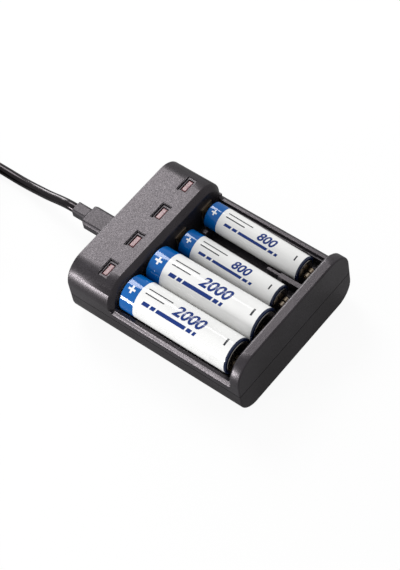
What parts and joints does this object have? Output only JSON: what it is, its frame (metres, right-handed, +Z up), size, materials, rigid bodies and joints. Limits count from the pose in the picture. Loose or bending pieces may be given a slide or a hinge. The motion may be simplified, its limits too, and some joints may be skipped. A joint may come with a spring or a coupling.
{
  "type": "aa and aaa battery charger",
  "caption": "Low desktop charger tray with cylindrical cells lying in side-by-side bays, a head block with indicator windows, sprung end contacts and a USB cord.",
  "frame": {"origin": "on the table, under the middle of the case without its cord", "axes": "+Z up, +Y from the end wall towards the head and the cord, +X across the bays"},
  "size_m": [0.099, 0.1926, 0.0276],
  "materials": {
    "shell_upper": "charcoal ABS, fine spark-eroded texture",
    "shell_lower": "charcoal ABS, fine spark-eroded texture",
    "rubber": "black rubber",
    "board": "green solder mask on glass-fibre board",
    "chip": "black moulding compound",
    "capacitor_sleeve": "dark blue sleeve",
    "plated_shell": "nickel-plated steel",
    "tongue": "black plastic",
    "lamp": "pink-red diffused epoxy",
    "contact_strip": "phosphor bronze strip, bright",
    "screw_steel": "zinc-plated steel",
    "cell_sleeve": "white printed shrink sleeve",
    "plug_grip": "black moulded PVC",
    "cord": "black PVC",
    "tie": "black coated wire tie",
    "usb_tongue": "white plastic"
  },
  "bodies": {
    "charger": {"upper_shell": "shell_upper", "lower_shell": "shell_lower", "feet": "rubber", "circuit_board": "board", "charge_controller": "chip", "charge_switches": "chip", "input_capacitor": "capacitor_sleeve", "micro_usb_socket": "plated_shell", "socket_tongue": "tongue", "lamp_1": "lamp", "lamp_2": "lamp", "lamp_3": "lamp", "lamp_4": "lamp", "lamp_legs": "plated_shell", "positive_contact_1": "contact_strip", "positive_contact_2": "contact_strip", "positive_contact_3": "contact_strip", "positive_contact_4": "contact_strip", "contact_base_1": "contact_strip", "contact_base_2": "contact_strip", "contact_base_3": "contact_strip", "contact_base_4": "contact_strip", "case_screws": "screw_steel", "aa_cell_1": "cell_sleeve", "aa_cell_2": "cell_sleeve", "aaa_cell_1": "cell_sleeve", "aaa_cell_2": "cell_sleeve", "plug_shell": "plated_shell", "plug_grip": "plug_grip", "plug_relief": "plug_grip", "cord_lead": "cord", "cord_coil": "cord", "coil_tie": "tie", "cord_tail": "cord", "usb_a_relief": "plug_grip", "usb_a_grip": "plug_grip", "usb_a_shell": "plated_shell", "usb_a_tongue": "usb_tongue"},
    "leaf_1": {"contact_leaf_1": "contact_strip"},
    "leaf_2": {"contact_leaf_2": "contact_strip"},
    "leaf_3": {"contact_leaf_3": "contact_strip"},
    "leaf_4": {"contact_leaf_4": "contact_strip"}
  },
  "joints": [
    {"name": "contact_1_spring", "type": "hinge", "parent": "charger", "child": "leaf_1", "pos_m": [-0.0225, -0.03302, 0.00895], "axis": [1, 0, 0], "range_deg": [0, 14], "stiffness_Nm_per_rad": 0.015},
    {"name": "contact_2_spring", "type": "hinge", "parent": "charger", "child": "leaf_2", "pos_m": [-0.0075, -0.03302, 0.00895], "axis": [1, 0, 0], "range_deg": [0, 14], "stiffness_Nm_per_rad": 0.015},
    {"name": "contact_3_spring", "type": "hinge", "parent": "charger", "child": "leaf_3", "pos_m": [0.0075, -0.03302, 0.00895], "axis": [1, 0, 0], "range_deg": [0, 54], "stiffness_Nm_per_rad": 0.015},
    {"name": "contact_4_spring", "type": "hinge", "parent": "charger", "child": "leaf_4", "pos_m": [0.0225, -0.03302, 0.00895], "axis": [1, 0, 0], "range_deg": [0, 54], "stiffness_Nm_per_rad": 0.015}
  ]
}
